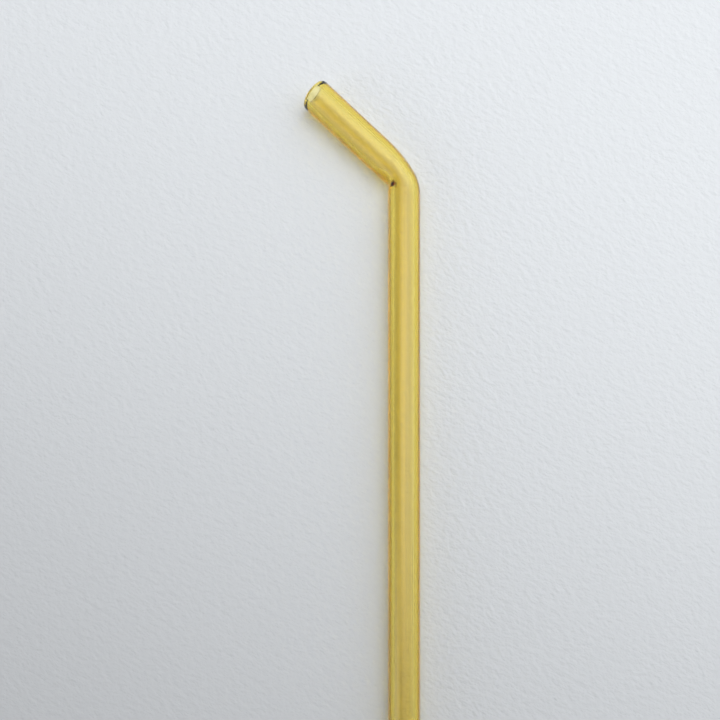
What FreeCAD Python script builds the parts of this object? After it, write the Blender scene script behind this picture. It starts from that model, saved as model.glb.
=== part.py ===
# Bent drinking straw, made from one length of thick-walled amber glass tube.
# It lies as it comes to rest, with the bend flat on the table and the long leg along Y. Z is up.
# The plan is drawn about the corner where the two centrelines cross, and moved to its origin at the end.
import FreeCAD, Part
import math
import os

# Driving dimensions, in millimetres and degrees
outerDiameter = 8.0
wall = 1.5
legLength = 169.0  # from the centrelines' corner to the lower end
mouthLength = 31.0  # from the centrelines' corner to the end that is drunk from
creaseRadius = 0.5  # inside of the bend, where the soft glass folds almost to a line
heelRadius = 10.0  # outside of the bend, the tight arc next to the leg
heelTurn = 31.0
shoulderRadius = 37.0  # outside of the bend, the long arc that runs out into the mouth end
shoulderTurn = 16.0
outerRimRound = 1.1  # outer edge of both ends, fire-polished well back
boreRimRound = 0.3  # inner edge of both ends, only just eased
runOut = 0.5  # plain tube kept in the bend's loft beyond its curves
seamAngle = 22.5  # the lofts' seam, kept off the planes of symmetry

# Sizes that follow
outerRadius = outerDiameter / 2
boreRadius = outerRadius - wall
outerFillet = min(outerRimRound, 0.74 * wall)
boreFillet = min(boreRimRound, 0.2 * wall)
seamTurn = math.radians(seamAngle)
heel = math.radians(heelTurn)
bend = math.radians(heelTurn + shoulderTurn)
heelLength = heelRadius * heel
shoulderLength = shoulderRadius * math.radians(shoulderTurn)
cornerRise = outerRadius * math.tan(bend / 2)

up = FreeCAD.Vector(0, 0, 1)
legWay = FreeCAD.Vector(0, 1, 0)  # along the leg, towards the bend
mouthWay = FreeCAD.Vector(-math.sin(bend), math.cos(bend), 0)  # along the mouth end, away from the bend
legSide = FreeCAD.Vector(1, 0, 0)  # across the leg, towards the outside of the bend
mouthSide = FreeCAD.Vector(math.cos(bend), math.sin(bend), 0)


def along(turn):
    # direction of travel after a turn from the leg's direction
    return FreeCAD.Vector(-math.sin(turn), math.cos(turn), 0)


def across(turn):
    # direction towards the outside of the bend after a turn
    return FreeCAD.Vector(math.cos(turn), math.sin(turn), 0)


# The outer outline is two tangent arcs, so its start on the leg follows from the radii and turns.
reachAcross = heelRadius * (1 - math.cos(heel)) + shoulderRadius * (math.cos(heel) - math.cos(bend))
reachAlong = heelRadius * math.sin(heel) + shoulderRadius * (math.sin(bend) - math.sin(heel))
heelStart = FreeCAD.Vector(outerRadius, cornerRise + reachAcross / math.tan(bend) - reachAlong, 0)
heelCentre = heelStart - legSide * heelRadius
heelEnd = heelCentre + across(heel) * heelRadius
shoulderCentre = heelEnd - across(heel) * shoulderRadius
shoulderEnd = shoulderCentre + across(bend) * shoulderRadius

# Every section of the fold turns about this point, just outside the crease.
pivot = FreeCAD.Vector(-outerRadius - creaseRadius, -(outerRadius + creaseRadius) * math.tan(bend / 2), 0)


def outerSide(run):
    # point on the outer outline, by the length run along it from the start of the heel
    if run < 0:
        return heelStart + legWay * run
    if run < heelLength:
        return heelCentre + across(run / heelRadius) * heelRadius
    if run < heelLength + shoulderLength:
        return shoulderCentre + across(heel + (run - heelLength) / shoulderRadius) * shoulderRadius
    return shoulderEnd + mouthWay * (run - heelLength - shoulderLength)


def runWhereLevel(way):
    # run at which the outer outline comes level with the pivot, measured along one of the two tubes
    low = -outerDiameter
    high = heelLength + shoulderLength + outerDiameter
    for step in range(50):
        middle = (low + high) / 2
        if (outerSide(middle) - pivot).dot(way) < 0:
            low = middle
        else:
            high = middle
    return low


def innerSide(outer):
    # point on the inner outline that faces a point of the outer one
    if (outer - pivot).dot(legWay) <= 0:
        return outer - legSide * ((outer - pivot).dot(legSide) - creaseRadius)
    if (outer - pivot).dot(mouthWay) >= 0:
        return outer - mouthSide * ((outer - pivot).dot(mouthSide) - creaseRadius)
    ray = outer - pivot
    return pivot + ray.normalize() * creaseRadius


def section(run, inset):
    # upright oval from the inner outline to the outer one, drawn in by the inset all round
    outer = outerSide(run)
    inner = innerSide(outer)
    middle = (outer + inner) / 2
    width = (outer - inner).Length
    side = (outer - inner).normalize()
    halfWidth = width / 2 - inset
    halfHeight = outerRadius - inset
    oval = Part.Ellipse()
    oval.Center = middle
    oval.MajorRadius = halfHeight
    oval.MinorRadius = min(halfWidth, halfHeight)
    oval.Axis = side.cross(up)
    oval.XAxis = up
    return Part.Wire([oval.toShape(seamTurn, seamTurn + 2 * math.pi)])


def stretch(start, end, count, inset):
    # loft through evenly spaced sections of one stretch of the bend
    runs = [start + (end - start) * k / (count - 1) for k in range(count)]
    return Part.makeLoft([section(run, inset) for run in runs], True, False)


def solidRod(radius, inset):
    # the whole tube as a solid rod: the leg, three stretches of the bend and the mouth end
    legLevel = runWhereLevel(legWay)
    mouthLevel = runWhereLevel(mouthWay)
    bendStart = min(0, legLevel) - runOut
    bendEnd = max(heelLength + shoulderLength, mouthLevel) + runOut
    legTop = outerSide(bendStart) - legSide * outerRadius
    mouthFoot = outerSide(bendEnd) - mouthSide * outerRadius
    legFoot = FreeCAD.Vector(0, -legLength, 0)
    mouthTip = mouthWay * mouthLength
    leg = Part.makeCylinder(radius, (legTop - legFoot).Length, legFoot, legWay)
    mouth = Part.makeCylinder(radius, (mouthTip - mouthFoot).Length, mouthFoot, mouthWay)
    approach = stretch(bendStart, legLevel, 4, inset)
    fold = stretch(legLevel, mouthLevel, 9, inset)
    shoulder = stretch(mouthLevel, bendEnd, 6, inset)
    return leg.fuse([approach, fold, shoulder, mouth])


def rimEdges(tube, radius):
    # the circles of this radius that bound the two end faces
    found = []
    for edge in tube.Edges:
        middle = edge.BoundBox.Center
        onLegEnd = abs(middle.y + legLength) < 1e-3 and edge.BoundBox.YLength < 1e-3
        onMouthEnd = abs(middle.dot(mouthWay) - mouthLength) < 1e-3
        if (onLegEnd or onMouthEnd) and abs(edge.BoundBox.ZLength - 2 * radius) < 1e-3:
            found.append(edge)
    return found


def makeStraw():
    tube = solidRod(outerRadius, 0).cut(solidRod(boreRadius, wall))
    tube = tube.makeFillet(outerFillet, rimEdges(tube, outerRadius))
    straw = tube.makeFillet(boreFillet, rimEdges(tube, boreRadius))
    box = straw.optimalBoundingBox(False, False)
    straw.translate(FreeCAD.Vector(-box.Center.x, -box.Center.y, -box.ZMin))
    return straw


os.makedirs("parts", exist_ok=True)
straw = makeStraw()
straw.exportStep("parts/straw.step")
print("solids", len(straw.Solids), "valid", straw.isValid(), "volume", round(straw.Volume, 1))
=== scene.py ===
# Bent amber glass straw lying on a pale table, seen from above.
import math

import bpy
import numpy as np
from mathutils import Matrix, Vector


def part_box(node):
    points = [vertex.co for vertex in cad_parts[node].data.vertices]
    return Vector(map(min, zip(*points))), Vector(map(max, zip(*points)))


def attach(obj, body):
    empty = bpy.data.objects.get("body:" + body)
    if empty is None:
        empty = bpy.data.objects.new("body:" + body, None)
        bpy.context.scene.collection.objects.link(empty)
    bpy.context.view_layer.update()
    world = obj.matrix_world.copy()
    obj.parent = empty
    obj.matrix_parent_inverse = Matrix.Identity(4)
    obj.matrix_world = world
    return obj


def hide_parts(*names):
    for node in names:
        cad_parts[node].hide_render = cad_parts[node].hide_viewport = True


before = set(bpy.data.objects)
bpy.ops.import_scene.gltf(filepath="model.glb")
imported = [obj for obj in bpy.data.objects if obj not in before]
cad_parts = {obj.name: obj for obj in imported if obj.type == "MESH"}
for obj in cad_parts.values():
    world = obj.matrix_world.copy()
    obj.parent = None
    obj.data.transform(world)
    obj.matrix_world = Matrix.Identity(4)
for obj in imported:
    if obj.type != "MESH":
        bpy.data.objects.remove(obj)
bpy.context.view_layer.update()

mm = 0.001

# Millimetres and degrees. Down to shoulderTurn these are the solid's own driving sizes, and the
# softened rims, the drawn-in lips and the gathered fold below them are the scene's alone.
straw = {
    "outerRadius": 4.0,
    "wall": 1.5,
    "legLength": 169.0,  # from the corner of the centrelines
    "mouthLength": 31.0,
    "creaseRadius": 0.5,
    "heelRadius": 10.0,
    "heelTurn": 31.0,
    "shoulderRadius": 37.0,
    "shoulderTurn": 16.0,
    "rimBack": 1.1,  # the outer edge is polished back this far along the tube
    "rimDepth": 0.85,  # and this far in
    "lipRound": 0.6,  # inner edge
    "lipDraw": 0.2,  # the hot glass draws the bore in by this much at the lip
    "lipRun": 1.5,  # over this length
    "foldGain": 0.5,  # hot glass gathers inside the bend: the wall is this much thicker
    "foldPeak": 2.0,  # this far up the mouth end from the crease
    "foldSpread": 1.8,
    "around": 144,  # points round the tube
    "legSteps": 60,  # stations along the plain leg
    "bendSteps": 220,  # along the bend
    "mouthSteps": 20,  # along the plain mouth end
    "rimSteps": 10,  # over each rounded edge
    "lipSteps": 16,  # over each drawn-in lip
    "bendMargin": 3,  # of plain tube at each end of the bend, as finely divided as the bend
    "lipMargin": 0.2,  # kept clear between a lip's stations and the rest of the bore's
}
heel = math.radians(straw["heelTurn"])
bend = math.radians(straw["heelTurn"] + straw["shoulderTurn"])
heelLength = straw["heelRadius"] * heel
bendLength = heelLength + straw["shoulderRadius"] * math.radians(straw["shoulderTurn"])


def along(turn):
    # unit vectors of travel after a turn: (-sin turn, cos turn)
    return np.stack([-np.sin(turn), np.cos(turn)], -1)


def across(turn):
    # unit vectors towards the outside of the bend: (cos turn, sin turn)
    return np.stack([np.cos(turn), np.sin(turn)], -1)


def outlinePlaces(s):
    # Two tangent arcs leave the leg's side and meet the mouth end's side. Their start on the leg is
    # what their reach across, over the tangent of the bend, leaves of their reach along.
    small, large = s["heelRadius"], s["shoulderRadius"]
    reachAcross = small * (1 - math.cos(heel)) + large * (math.cos(heel) - math.cos(bend))
    reachAlong = small * math.sin(heel) + large * (math.sin(bend) - math.sin(heel))
    rise = s["outerRadius"] * math.tan(bend / 2)
    heelStart = np.array([s["outerRadius"], rise + reachAcross / math.tan(bend) - reachAlong])
    heelCentre = heelStart - across(0.0) * small
    heelEnd = heelCentre + across(heel) * small
    shoulderCentre = heelEnd - across(heel) * large
    shoulderEnd = shoulderCentre + across(bend) * large
    reach = s["outerRadius"] + s["creaseRadius"]
    pivot = np.array([-reach, -reach * math.tan(bend / 2)])
    return heelStart, heelCentre, shoulderCentre, shoulderEnd, pivot


heelStart, heelCentre, shoulderCentre, shoulderEnd, pivot = outlinePlaces(straw)
footRun = -(straw["legLength"] + heelStart[1])
tipRun = bendLength + straw["mouthLength"] - float(shoulderEnd @ along(bend))


def outerSide(run):
    # Points of the outer outline at lengths run from the heel's start: a straight line below 0,
    # centre + radius * across(run / radius) on each arc, and a straight line past the second.
    heelTurn = np.clip(run / straw["heelRadius"], 0, heel)
    shoulderTurn = heel + np.clip((run - heelLength) / straw["shoulderRadius"], 0, bend - heel)
    onHeel = heelCentre + across(heelTurn) * straw["heelRadius"]
    onHeel = onHeel + along(0.0) * np.minimum(run, 0)[:, None]
    onShoulder = shoulderCentre + across(shoulderTurn) * straw["shoulderRadius"]
    onShoulder = onShoulder + along(bend) * np.maximum(run - bendLength, 0)[:, None]
    return np.where((run < heelLength)[:, None], onHeel, onShoulder)


def innerSide(outer):
    # The facing point of the inner outline: straight across each tube, and in the fold the point
    # where the line from the pivot crosses the crease's small arc.
    fromPivot = outer - pivot
    onLeg = outer - across(0.0) * (fromPivot @ across(0.0) - straw["creaseRadius"])[:, None]
    onMouth = outer - across(bend) * (fromPivot @ across(bend) - straw["creaseRadius"])[:, None]
    onFold = pivot + fromPivot / np.linalg.norm(fromPivot, axis=1)[:, None] * straw["creaseRadius"]
    below = (fromPivot @ along(0.0) <= 0)[:, None]
    beyond = (fromPivot @ along(bend) >= 0)[:, None]
    return np.where(below, onLeg, np.where(beyond, onMouth, onFold))


def wallProfile(s):
    # Closed loop (run, inset) round the wall: up the outside, over the mouth rim, back down the
    # bore, over the foot rim. An outer edge is a quarter ellipse: inset d - d cos a, set back
    # b - b sin a. Near a rim the bore closes by draw * (1 - distance / length) squared.
    back, depth, lip, draw, length = s["rimBack"], s["rimDepth"], s["lipRound"], s["lipDraw"], s["lipRun"]
    nearMouth = tipRun - lip - np.linspace(0, length, s["lipSteps"])
    nearFoot = footRun + tipRun - nearMouth
    foldStart, foldEnd = -s["bendMargin"], bendLength + s["bendMargin"]
    leg = np.linspace(footRun + back, foldStart, s["legSteps"], endpoint=False)
    fold = np.linspace(foldStart, foldEnd, s["bendSteps"], endpoint=False)
    mouth = np.linspace(foldEnd, tipRun - back, s["mouthSteps"])
    outside = np.concatenate([leg, fold, mouth])
    clear = (outside > nearFoot[-1] + s["lipMargin"]) & (outside < nearMouth[-1] - s["lipMargin"])
    between = outside[clear]
    bore = np.concatenate([nearMouth, between[::-1], nearFoot[::-1]])
    fromRim = np.minimum(nearMouth[0] - bore, bore - nearFoot[0])
    boreInset = s["wall"] + draw * np.clip(1 - fromRim / length, 0, 1) ** 2
    a = np.linspace(0, math.pi / 2, s["rimSteps"] + 1)[1:]
    outerRun, innerRun = tipRun - back + back * np.sin(a), tipRun - lip + lip * np.sin(a)
    outerInset, innerInset = depth - depth * np.cos(a), s["wall"] + draw - lip + lip * np.cos(a)
    rimRun = np.concatenate([outerRun, innerRun[::-1]])
    rimInset = np.concatenate([outerInset, innerInset[::-1]])
    run = np.concatenate([outside, rimRun, bore, footRun + tipRun - rimRun[::-1]])
    inset = np.concatenate([0 * outside, rimInset, boreInset, rimInset[::-1]])
    return run, inset


def strawSurface(s):
    # Point (run, turn) = middle of the section + side * (half width - inset) * cos turn
    # + up * (tube radius - inset) * sin turn, the section being the line from inner to outer side.
    # The bore's inner side is held back by gain * exp(-((distance past crease - peak) / spread) squared).
    run, inset = wallProfile(s)
    outer = outerSide(run)
    inner = innerSide(outer)
    width = np.linalg.norm(outer - inner, axis=1)
    side = (outer - inner) / width[:, None]
    fromPivot = inner - pivot
    pastCrease = np.minimum(fromPivot @ along(0.0), 0) + np.maximum(fromPivot @ along(bend), 0)
    gain = s["foldGain"] * np.exp(-((pastCrease - s["foldPeak"]) / s["foldSpread"]) ** 2)
    gain = gain * (inset >= s["wall"])
    turn = np.linspace(0, 2 * math.pi, s["around"], endpoint=False)
    reach = (width / 2 - inset - gain / 2)[:, None] * np.cos(turn) + gain[:, None] / 2
    plan = ((outer + inner) / 2)[:, None, :] + side[:, None, :] * reach[..., None]
    height = s["outerRadius"] + (s["outerRadius"] - inset)[:, None] * np.sin(turn)
    ways = np.stack(np.broadcast_arrays(run[:, None], turn * s["outerRadius"]), -1)
    return np.concatenate([plan, height[..., None]], -1), ways


def closedGrid(name, points, ways):
    # Quads between neighbours of a grid that closes both ways, as on a ring of a pipe. The UV map
    # holds millimetres along and round the tube, and goes on past the last column instead of back to 0.
    rows, columns = points.shape[:2]
    i, j = np.meshgrid(np.arange(rows), np.arange(columns), indexing="ij")
    up, right = (i + 1) % rows, (j + 1) % columns
    quads = np.stack([i * columns + j, up * columns + j, up * columns + right, i * columns + right], -1)
    quads = quads.reshape(-1, 4)
    mesh = bpy.data.meshes.new(name)
    mesh.from_pydata(points.reshape(-1, 3), [], quads)
    mesh.polygons.foreach_set("use_smooth", np.ones(len(quads), bool))
    corners = ways.reshape(-1, 2)[quads]
    corners.reshape(rows, columns, 4, 2)[:, -1, 2:, 1] = ways[0, 1, 1] * columns
    drawn = mesh.uv_layers.new(name="drawn")
    drawn.data.foreach_set("uv", corners.ravel())
    mesh.update()
    piece = bpy.data.objects.new(name, mesh)
    bpy.context.scene.collection.objects.link(piece)
    return piece


def linear(hexColour):
    # sRGB hex to linear light, with alpha 1
    parts = np.array([int(hexColour[k:k + 2], 16) / 255 for k in (1, 3, 5)])
    flat = np.where(parts <= 0.04045, parts / 12.92, ((parts + 0.055) / 1.055) ** 2.4)
    return (*flat.tolist(), 1.0)


def addNode(tree, kind, settings=None, links=None):
    # one node: settings are attributes or input values, links are {input name: output socket}
    node = tree.nodes.new(kind)
    for key, value in (settings or {}).items():
        if key in node.inputs:
            node.inputs[key].default_value = value
        else:
            setattr(node, key, value)
    for key, socket in (links or {}).items():
        tree.links.new(socket, node.inputs[key])
    return node


def newMaterial(name):
    material = bpy.data.materials.new(name)
    material.use_nodes = True
    material.node_tree.nodes.clear()
    return material, material.node_tree


glass = {
    "ior": 1.473,
    "tint": "#FEF122",
    "perMetre": 530.0,
    # The drawing's lines are finer than this on real tube. They are as coarse as they need to be to show.
    "lineGap": 0.8,  # millimetres round the tube from one line to the next
    "lineLength": 140.0,  # and along it, before a line fades out
    "lineDepth": 0.08,
}


def amberBorosilicate():
    # Borosilicate tube, coloured through and drawn hot: clear gloss, colour deepens with thickness,
    # and faint lines of the drawing run along the tube and ripple what is seen through it.
    material, tree = newMaterial("amberBorosilicate")
    drawn = addNode(tree, "ShaderNodeUVMap", {"uv_map": "drawn"})
    stretched = addNode(tree, "ShaderNodeVectorMath", {"operation": "MULTIPLY"}, {0: drawn.outputs["UV"]})
    stretched.inputs[1].default_value = (1 / glass["lineLength"], 1 / glass["lineGap"], 0)
    lines = addNode(tree, "ShaderNodeTexNoise", {
        "Scale": 1.0, "Detail": 2.0, "Roughness": 0.55}, {"Vector": stretched.outputs["Vector"]})
    wave = addNode(tree, "ShaderNodeBump", {
        "Strength": 1.0, "Distance": glass["lineDepth"] * mm}, {"Height": lines.outputs["Fac"]})
    body = addNode(tree, "ShaderNodeBsdfPrincipled", {
        "Base Color": (1, 1, 1, 1), "Roughness": 0.0, "IOR": glass["ior"], "Transmission Weight": 1.0},
        {"Normal": wave.outputs["Normal"]})
    depth = addNode(tree, "ShaderNodeVolumeAbsorption", {
        "Color": linear(glass["tint"]), "Density": glass["perMetre"]})
    out = addNode(tree, "ShaderNodeOutputMaterial")
    tree.links.new(body.outputs["BSDF"], out.inputs["Surface"])
    tree.links.new(depth.outputs["Volume"], out.inputs["Volume"])
    return material


table = {
    "near": "#E6EAEE",  # towards the window: painted light, the paper's colour painted paler on the lit side
    # painted shade: the paper's colour painted darker away from the window
    "far": "#AEB0B3",
    "slope": (2.3, 5.3, 0.0),  # how fast the painted light falloff pales, per metre along X and Y
    "half": -0.16,  # the same scale's value where the two are equally mixed
    "size": 3.0,  # metres
    "tooth": (1.4, 2.2),  # millimetres between the paper's bumps, across and along its felt marks
    "toothTurn": 60.0,  # the way across the marks, from X
    "toothDepth": 0.4,
}


backdrop = {
    "colour": "#C8CBCE",  # plain pale tone behind everything, seen by the lens and in the glass
    "tableClear": 0.18,  # metres from the straw at which the table starts to turn into it
    "tableGone": 0.45,
}


def seenDirectly(tree):
    # 1 for what the lens sees itself, in a reflection or through glass, 0 for light that falls on things
    path = addNode(tree, "ShaderNodeLightPath")
    lensOrGlass = addNode(tree, "ShaderNodeMath", {"operation": "MAXIMUM"}, {
        0: path.outputs["Is Camera Ray"], 1: path.outputs["Is Transmission Ray"]})
    return addNode(tree, "ShaderNodeMath", {"operation": "MAXIMUM"}, {
        0: lensOrGlass.outputs["Value"], 1: path.outputs["Is Glossy Ray"]}).outputs["Value"]


def tableTop(t):
    # Felt-marked drawing paper, centred under the straw: matt and pale, with faint slanting marks
    # that show where the light rakes across them. The fall of the light over the paper is painted into
    # its colour: paler towards the window and darker away from it.
    half = t["size"] / 2
    mesh = bpy.data.meshes.new("table")
    mesh.from_pydata([(-half, -half, 0), (half, -half, 0), (half, half, 0), (-half, half, 0)], [], [(0, 1, 2, 3)])
    piece = bpy.data.objects.new("table", mesh)
    bpy.context.scene.collection.objects.link(piece)
    material, tree = newMaterial("mattPaper")
    place = addNode(tree, "ShaderNodeTexCoord")
    # painted light falloff: the paper's colour mixes from the darker tone to the paler tone towards the window
    paintedFalloffRamp = addNode(tree, "ShaderNodeVectorMath", {"operation": "DOT_PRODUCT"}, {0: place.outputs["Object"]})
    paintedFalloffRamp.inputs[1].default_value = t["slope"]
    paintedFalloffShare = addNode(tree, "ShaderNodeMapRange", {
        "interpolation_type": "SMOOTHSTEP", "From Min": t["half"] - 1, "From Max": t["half"] + 1},
        {"Value": paintedFalloffRamp.outputs["Value"]})
    paintedLightFalloff = addNode(tree, "ShaderNodeMix", {"data_type": "RGBA"}, {0: paintedFalloffShare.outputs["Result"]})
    paintedLightFalloff.inputs[6].default_value = linear(t["far"])
    paintedLightFalloff.inputs[7].default_value = linear(t["near"])
    turned = addNode(tree, "ShaderNodeVectorRotate", {
        "rotation_type": "Z_AXIS", "Angle": -math.radians(t["toothTurn"])}, {"Vector": place.outputs["Object"]})
    stretched = addNode(tree, "ShaderNodeVectorMath", {"operation": "DIVIDE"}, {0: turned.outputs["Vector"]})
    stretched.inputs[1].default_value = (t["tooth"][0] * mm, t["tooth"][1] * mm, 1)
    felt = addNode(tree, "ShaderNodeTexNoise", {
        "Scale": 1.0, "Detail": 2.0, "Roughness": 0.6}, {"Vector": stretched.outputs["Vector"]})
    tooth = addNode(tree, "ShaderNodeBump", {
        "Strength": 1.0, "Distance": t["toothDepth"] * mm}, {"Height": felt.outputs["Fac"]})
    paper = addNode(tree, "ShaderNodeBsdfPrincipled", {"Roughness": 0.9, "Specular IOR Level": 0.2}, {
        "Base Color": paintedLightFalloff.outputs[2], "Normal": tooth.outputs["Normal"]})
    away = addNode(tree, "ShaderNodeVectorMath", {"operation": "LENGTH"}, {0: place.outputs["Object"]})
    beyond = addNode(tree, "ShaderNodeMapRange", {
        "interpolation_type": "SMOOTHSTEP",
        "From Min": backdrop["tableClear"], "From Max": backdrop["tableGone"]}, {"Value": away.outputs["Value"]})
    blend = addNode(tree, "ShaderNodeMath", {"operation": "MULTIPLY"}, {
        0: beyond.outputs["Result"], 1: seenDirectly(tree)})
    plain = addNode(tree, "ShaderNodeEmission", {"Color": linear(backdrop["colour"])})
    both = addNode(tree, "ShaderNodeMixShader", None, {
        0: blend.outputs["Value"], 1: paper.outputs["BSDF"], 2: plain.outputs["Emission"]})
    out = addNode(tree, "ShaderNodeOutputMaterial", None, {"Surface": both.outputs["Shader"]})
    mesh.materials.append(material)
    return piece


def makeStraw():
    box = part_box("straw")
    corner = np.array([box[1][0] / mm - straw["outerRadius"], box[0][1] / mm + straw["legLength"], box[0][2] / mm])
    points, ways = strawSurface(straw)
    piece = closedGrid("glassStraw", (points + corner) * mm, ways)
    piece.data.materials.append(amberBorosilicate())
    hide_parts("straw")
    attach(piece, "root")
    return piece, corner


strawPiece, corner = makeStraw()
print("straw made, triangles:", 2 * len(strawPiece.data.polygons))

tableTop(table)
print("table laid")

lights = {
    "room": "#FFFFFF",
    "walls": 1.05,  # brightness of the pale walls at table height
    "wallsEnd": 0.40,  # upward part of a direction at which they have faded out
    "upperRoom": 0.02,
    "aim": (0, 0.026, 0),  # middle of the view, in metres
    # place in metres from there, width of the soft square, brightness at its middle, and how far out
    # from the middle, in widths, it stays full: below 0 even the middle isn't quite full
    "window": {"place": (0.68, 0.37, 0.78), "width": 2.48, "full": 0.06, "brightness": 1.55},
    "sideWindow": {"place": (0.94, -0.16, 0.55), "width": 1.45, "full": -0.11, "brightness": 0.77},
    "ceiling": {"place": (0.02, 0.10, 0.79), "width": 1.49, "full": 0.10, "brightness": 2.10},
    "reflector": {"place": (-0.85, -0.47, 0.52), "width": 1.30, "full": 0.02, "brightness": 1.85},
}


def lightUp(l):
    # Pale walls low down, two wide soft windows, a soft lamp overhead and a reflector opposite them.
    # Each lamp fades from its middle to its rim, so that the glass shows soft bands and no hard panes.
    world = bpy.data.worlds.new("room")
    world.use_nodes = True
    bpy.context.scene.world = world
    tree = world.node_tree
    room = tree.nodes["Background"]
    room.inputs["Color"].default_value = linear(l["room"])
    plain = addNode(tree, "ShaderNodeBackground", {"Color": linear(backdrop["colour"])})
    both = addNode(tree, "ShaderNodeMixShader", None, {
        0: seenDirectly(tree), 1: room.outputs["Background"], 2: plain.outputs["Background"]})
    tree.links.new(both.outputs["Shader"], tree.nodes["World Output"].inputs["Surface"])
    way = addNode(tree, "ShaderNodeTexCoord")
    rise = addNode(tree, "ShaderNodeSeparateXYZ", None, {"Vector": way.outputs["Generated"]})
    walls = addNode(tree, "ShaderNodeMapRange", {
        "From Min": 0.0, "From Max": l["wallsEnd"], "To Min": l["walls"], "To Max": l["upperRoom"]},
        {"Value": rise.outputs["Z"]})
    tree.links.new(walls.outputs["Result"], room.inputs["Strength"])
    for name in ("window", "sideWindow", "ceiling", "reflector"):
        w = l[name]
        place = Vector(w["place"])
        lamp = bpy.data.lights.new(name, "AREA")
        lamp.shape = "SQUARE"
        lamp.size = w["width"]
        lamp.energy = w["brightness"] * math.pi * w["width"] ** 2
        lamp.use_nodes = True
        glow = lamp.node_tree.nodes["Emission"]
        spot = addNode(lamp.node_tree, "ShaderNodeNewGeometry")
        fromMiddle = addNode(lamp.node_tree, "ShaderNodeVectorMath", {"operation": "DISTANCE"}, {
            0: spot.outputs["Parametric"]})
        fromMiddle.inputs[1].default_value = (0.5, 0.5, 0)
        fade = addNode(lamp.node_tree, "ShaderNodeMapRange", {
            "interpolation_type": "SMOOTHSTEP", "From Min": 0.5, "From Max": w["full"]},
            {"Value": fromMiddle.outputs["Value"]})
        lamp.node_tree.links.new(fade.outputs["Result"], glow.inputs["Strength"])
        holder = bpy.data.objects.new(name, lamp)
        holder.location = Vector(l["aim"]) + place
        holder.rotation_euler = place.to_track_quat("Z", "Y").to_euler()
        bpy.context.scene.collection.objects.link(holder)


lightUp(lights)

camera = {
    "frame": 720,  # pixels across
    "pixelsPerMm": 4.0,  # at the height of the straw's axis
    "cornerPixel": (404.05, 178.0),  # where the centrelines meet in the frame
    "aimPixel": (360.0, 480.0),  # straight below the lens
    "height": 185.0,  # lens above the straw's axis
    "sensor": 36.0,
    "clipStart": 0.01,  # metres
}


def setCamera(c, corner):
    scale = c["pixelsPerMm"]
    lens = bpy.data.cameras.new("overhead")
    lens.sensor_width = c["sensor"]
    lens.lens = lens.sensor_width * c["height"] * scale / c["frame"]
    lens.shift_y = (c["aimPixel"][1] - c["frame"] / 2) / c["frame"]
    lens.clip_start = c["clipStart"]
    holder = bpy.data.objects.new("overhead", lens)
    holder.location = (
        (corner[0] + (c["aimPixel"][0] - c["cornerPixel"][0]) / scale) * mm,
        (corner[1] - (c["aimPixel"][1] - c["cornerPixel"][1]) / scale) * mm,
        (straw["outerRadius"] + c["height"]) * mm,
    )
    bpy.context.scene.collection.objects.link(holder)
    bpy.context.scene.camera = holder


setCamera(camera, corner)
bpy.context.scene.view_settings.view_transform = "Standard"
print("camera set")
